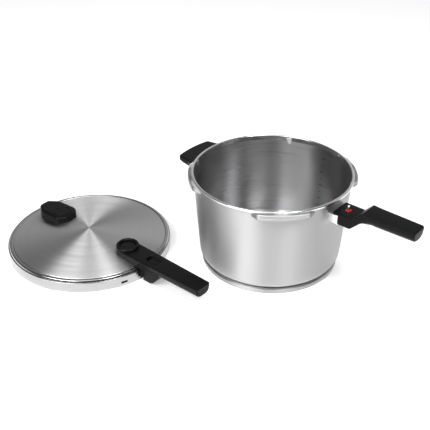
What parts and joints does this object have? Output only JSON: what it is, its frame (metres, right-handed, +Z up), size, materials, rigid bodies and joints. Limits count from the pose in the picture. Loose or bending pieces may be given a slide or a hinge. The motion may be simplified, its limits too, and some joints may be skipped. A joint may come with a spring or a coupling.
{
  "type": "stovetop pressure cooker",
  "caption": "Steel stovetop pressure cooker: tapered pot with long and helper handles, bayonet lid lying beside it with dial, latch and valves.",
  "frame": {"origin": "centre of the pot's base, on the worktop", "axes": "+Z up, +X along the pot's long handle; the lid lies on the worktop towards -X and -Y"},
  "size_m": [0.5655, 0.3901, 0.1406],
  "materials": {
    "polished_steel": "mirror polished outside, fine circumferential brushing inside",
    "lid_steel": "circular brushed disc with a polished rim and skirt",
    "aluminium_disc": "plain rolled",
    "handle_plastic": "fine satin grain, moulded phenolic",
    "cover_plastic": "satin, slightly smoother than the grips",
    "red_silicone": "soft silicone",
    "grey_silicone": "translucent grey silicone",
    "hardware_steel": "turned stainless steel",
    "spring_steel": "drawn spring wire"
  },
  "bodies": {
    "pot": {"pot_shell": "polished_steel", "base_cap": "polished_steel", "handle_cup": "polished_steel", "pot_handle": "handle_plastic", "pot_handle_screw": "hardware_steel", "pin_ring": "red_silicone", "pin_plug": "hardware_steel", "pin_spring": "spring_steel", "ear_bracket": "polished_steel", "helper_handle": "handle_plastic", "ear_screws": "hardware_steel"},
    "lock_pin": {"lock_pin": "hardware_steel"},
    "heat_disc": {"base_core": "aluminium_disc"},
    "valve_ball": {"safety_ball": "hardware_steel"},
    "lid": {"lid_shell": "lid_steel", "sealing_ring": "grey_silicone", "lid_handle_base": "handle_plastic", "lid_handle_cover": "cover_plastic", "lid_handle_screws": "hardware_steel", "cover_screws": "hardware_steel", "valve_body": "hardware_steel", "valve_seal": "grey_silicone", "valve_nut": "hardware_steel", "valve_collar": "hardware_steel", "valve_spring": "spring_steel", "latch_spring": "spring_steel", "counter_grip": "cover_plastic", "grip_screws": "hardware_steel", "safety_body": "hardware_steel", "safety_seal": "grey_silicone", "safety_nut": "hardware_steel", "safety_plug": "hardware_steel", "safety_spring": "spring_steel"},
    "pressure_dial": {"pressure_dial": "cover_plastic"},
    "indicator": {"indicator_cap": "cover_plastic", "valve_stem": "hardware_steel"},
    "latch": {"thumb_slide": "cover_plastic", "latch": "hardware_steel"},
    "safety_piston": {"safety_piston": "hardware_steel"}
  },
  "joints": [
    {"name": "lid_turn", "type": "hinge", "parent": "pot", "child": "heat_disc", "pos_m": [0, 0, 0], "axis": [0, 0, 1], "range_deg": [0, 45]},
    {"name": "lid_travel", "type": "hinge", "parent": "heat_disc", "child": "valve_ball", "pos_m": [-0.19909, -0.09916, 0.1404], "axis": [-0.5835, 0.8121, 0], "range_deg": [0, 230.42]},
    {"name": "lid_level", "type": "hinge", "parent": "valve_ball", "child": "lid", "pos_m": [-0.28395, -0.16013, 0.014], "axis": [-0.5835, 0.8121, 0], "range_deg": [-230.42, 0]},
    {"name": "dial_turn", "type": "hinge", "parent": "lid", "child": "pressure_dial", "pos_m": [-0.13504, -0.15668, 0.034], "axis": [0, 0, 1], "range_deg": [0, 120]},
    {"name": "indicator_rise", "type": "slide", "parent": "lid", "child": "indicator", "axis": [0, 0, 1], "range_m": [0, 0.0035], "stiffness_N_per_m": 300, "springref_m": -0.001, "deforming": ["valve_spring"]},
    {"name": "latch_slide", "type": "slide", "parent": "lid", "child": "latch", "axis": [1, 0, 0], "range_m": [-0.0042, 0], "stiffness_N_per_m": 400, "springref_m": 0.001, "deforming": ["latch_spring"]},
    {"name": "safety_lift", "type": "slide", "parent": "lid", "child": "safety_piston", "axis": [0, 0, 1], "range_m": [0, 0.0025], "stiffness_N_per_m": 1500, "springref_m": -0.002, "deforming": ["safety_spring"]},
    {"name": "pin_press", "type": "slide", "parent": "pot", "child": "lock_pin", "axis": [0, 0, 1], "range_m": [-0.006, 0], "stiffness_N_per_m": 300, "springref_m": 0.001, "deforming": ["pin_spring"]}
  ],
  "couplings": [
    {"joint": "lid_level", "follows": "lid_travel", "ratio": -1}
  ]
}
